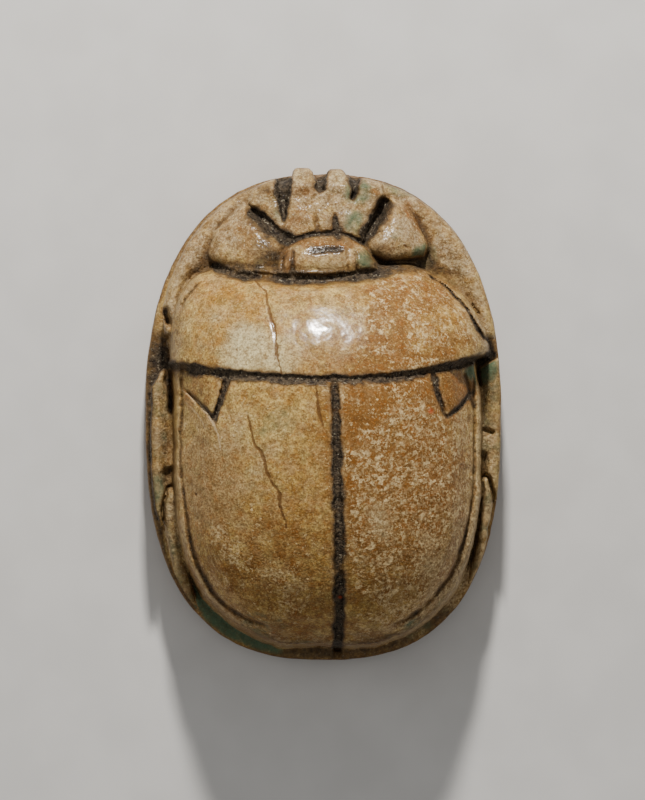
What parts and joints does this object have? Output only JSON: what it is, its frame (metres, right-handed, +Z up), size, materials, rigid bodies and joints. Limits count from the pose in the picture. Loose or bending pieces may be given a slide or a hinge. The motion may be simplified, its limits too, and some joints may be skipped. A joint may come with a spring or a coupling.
{
  "type": "scarab amulet",
  "caption": "Carved stone scarab amulet: a beetle in relief on an oval base, pierced lengthwise for a cord.",
  "frame": {"origin": "middle of the flat underside, which the amulet lies on", "axes": "+Y towards the beetle's head, +Z up out of its back, X across it"},
  "size_m": [0.013, 0.018, 0.0078],
  "materials": {
    "glazed_steatite": "carved steatite with a worn, patchy glaze: satin, buff to orange-brown, pale speckles, remains of green in the recesses, dark dirt in the cut lines"
  },
  "bodies": {
    "root": {"scarab": "glazed_steatite"}
  },
  "joints": []
}
